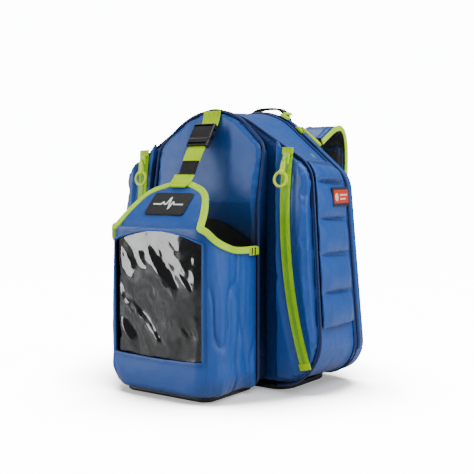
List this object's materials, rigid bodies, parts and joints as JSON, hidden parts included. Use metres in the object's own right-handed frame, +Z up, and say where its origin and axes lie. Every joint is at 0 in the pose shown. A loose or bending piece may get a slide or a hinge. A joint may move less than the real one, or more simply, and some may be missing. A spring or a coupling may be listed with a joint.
{
  "type": "trauma backpack",
  "caption": "Upright emergency medical backpack with a clear-windowed buckled front pouch, zipped side wings, a hinged padded back door and shoulder straps.",
  "frame": {"origin": "on the ground under the middle of the pack's bounding box", "axes": "+Z up, -Y out of the front pouch, +Y out of the shoulder straps, +X to the pack's right as seen from the front"},
  "size_m": [0.4616, 0.4457, 0.516],
  "materials": {
    "blue_fabric": "coated nylon, semi matte",
    "lime_webbing": "high visibility woven webbing",
    "black_webbing": "woven polyester webbing",
    "black_mesh": "spacer mesh",
    "black_tarpaulin": "coated tarpaulin",
    "clear_vinyl": "glossy clear vinyl",
    "black_plastic": "moulded acetal",
    "zip_tape": "woven zipper tape",
    "zip_chain": "coil chain",
    "slider_metal": "painted zinc",
    "lime_rubber": "moulded pull",
    "patch_black": "moulded patch",
    "label_red": "woven label",
    "liner_grey": "lining cloth",
    "board": "stiffening board"
  },
  "bodies": {
    "front_shell": {"base_boot": "black_tarpaulin", "buckle_female": "black_plastic", "clear_window": "clear_vinyl", "divider_lower": "liner_grey", "divider_upper": "liner_grey", "front_panel": "blue_fabric", "id_patch": "patch_black", "lower_webbing": "black_webbing", "main_chain_front": "zip_chain", "main_shell": "blue_fabric", "main_tape_front": "zip_tape", "pouch_binding": "lime_webbing", "pouch_body": "blue_fabric", "pouch_boot": "black_tarpaulin", "pouch_flap": "blue_fabric", "rim_tabs": "lime_webbing", "side_label": "label_red", "side_quilt_left": "blue_fabric", "side_quilt_right": "blue_fabric", "strap_tab_pouch": "lime_webbing", "strap_tab_top": "lime_webbing", "wing_chain_left": "zip_chain", "wing_chain_right": "zip_chain", "wing_pocket_left": "blue_fabric", "wing_pocket_right": "blue_fabric", "wing_tape_left": "zip_tape", "wing_tape_right": "zip_tape", "zipper_end_tabs": "zip_tape"},
    "back_door": {"door_lining": "liner_grey", "door_back": "black_mesh", "frame_sheet": "board", "back_pad_right": "black_mesh", "back_pad_left": "black_mesh", "lumbar_pad": "black_mesh", "mesh_pocket": "black_mesh", "shoulder_strap_right": "blue_fabric", "shoulder_strap_left": "blue_fabric", "harness_yoke": "black_webbing", "ladder_locks": "black_plastic", "lower_strap_right": "black_webbing", "lower_strap_left": "black_webbing", "strap_anchors": "black_webbing", "main_tape_rear": "zip_tape", "main_chain_rear": "zip_chain"},
    "carry_handle": {"grab_handle": "black_webbing"},
    "buckle_release_half": {"buckle_male": "black_plastic", "webbing_loop": "lime_webbing"},
    "prong_right": {"prong_right": "black_plastic"},
    "prong_left": {"prong_left": "black_plastic"},
    "wing_slider_right": {"wing_slider_right": "slider_metal"},
    "wing_slider_left": {"wing_slider_left": "slider_metal"},
    "wing_pull_right": {"wing_pull_right": "lime_rubber"},
    "wing_pull_left": {"wing_pull_left": "lime_rubber"},
    "wing_ring_right": {"wing_ring_right": "slider_metal"},
    "wing_ring_left": {"wing_ring_left": "slider_metal"},
    "main_slider_right": {"main_slider_right": "slider_metal"},
    "main_slider_left": {"main_slider_left": "slider_metal"},
    "main_pull_right": {"main_pull_right": "lime_rubber"},
    "main_pull_left": {"main_pull_left": "lime_rubber"}
  },
  "joints": [
    {"name": "door_open", "type": "hinge", "parent": "front_shell", "child": "back_door", "pos_m": [0, 0.112, 0.012], "axis": [-1, 0, 0], "range_deg": [0, 70]},
    {"name": "handle_fold", "type": "hinge", "parent": "back_door", "child": "carry_handle", "pos_m": [0, 0.1227, 0.478], "axis": [-1, 0, 0], "range_deg": [0, 80]},
    {"name": "buckle_release", "type": "slide", "parent": "front_shell", "child": "buckle_release_half", "axis": [0, -0.5519, -0.8339], "range_m": [0, 0.03], "deforming": ["lower_webbing"]},
    {"name": "prong_squeeze_right", "type": "hinge", "parent": "buckle_release_half", "child": "prong_right", "pos_m": [0.0175, -0.10099, 0.44531], "axis": [0, -0.8339, 0.5519], "range_deg": [0, 7], "stiffness_Nm_per_rad": 0.06},
    {"name": "prong_squeeze_left", "type": "hinge", "parent": "buckle_release_half", "child": "prong_left", "pos_m": [-0.0175, -0.10099, 0.44531], "axis": [0, -0.8339, 0.5519], "range_deg": [-7, 0], "stiffness_Nm_per_rad": 0.06},
    {"name": "wing_zip_right", "type": "hinge", "parent": "front_shell", "child": "wing_slider_right", "pos_m": [0.77389, 0.6534, 0.29833], "axis": [-0.7662, 0.6385, -0.0724], "range_deg": [-18.6, 0]},
    {"name": "wing_pull_swing_right", "type": "hinge", "parent": "wing_slider_right", "child": "wing_pull_right", "pos_m": [0.16373, -0.0775, 0.40788], "axis": [-0.9933, 0.0208, 0.1133], "range_deg": [0, 115]},
    {"name": "wing_ring_swing_right", "type": "hinge", "parent": "wing_pull_right", "child": "wing_ring_right", "pos_m": [0.16155, -0.08009, 0.38918], "axis": [-0.9933, 0.0208, 0.1133], "range_deg": [0, 100]},
    {"name": "wing_zip_left", "type": "hinge", "parent": "front_shell", "child": "wing_slider_left", "pos_m": [-0.77389, 0.6534, 0.29833], "axis": [-0.7662, -0.6385, 0.0724], "range_deg": [-18.6, 0]},
    {"name": "wing_pull_swing_left", "type": "hinge", "parent": "wing_slider_left", "child": "wing_pull_left", "pos_m": [-0.16373, -0.0775, 0.40788], "axis": [-0.9933, -0.0208, -0.1133], "range_deg": [0, 115]},
    {"name": "wing_ring_swing_left", "type": "hinge", "parent": "wing_pull_left", "child": "wing_ring_left", "pos_m": [-0.16155, -0.08009, 0.38918], "axis": [-0.9933, -0.0208, -0.1133], "range_deg": [0, 100]},
    {"name": "main_zip_right", "type": "slide", "parent": "front_shell", "child": "main_slider_right", "axis": [0.7613, 0, -0.6485], "range_m": [0, 0.085]},
    {"name": "main_zip_left", "type": "hinge", "parent": "front_shell", "child": "main_slider_left", "pos_m": [0, 0.086, 0.37793], "axis": [0, 1, 0], "range_deg": [-64, 0]},
    {"name": "main_pull_swing_right", "type": "hinge", "parent": "main_slider_right", "child": "main_pull_right", "pos_m": [0.10165, 0.086, 0.47105], "axis": [0, -1, 0], "range_deg": [0, 140]},
    {"name": "main_pull_swing_left", "type": "hinge", "parent": "main_slider_left", "child": "main_pull_left", "pos_m": [0.06018, 0.086, 0.5015], "axis": [0.8876, 0, -0.4606], "range_deg": [0, 130]}
  ],
  "couplings": [
    {"joint": "prong_squeeze_left", "follows": "prong_squeeze_right", "ratio": -1}
  ]
}
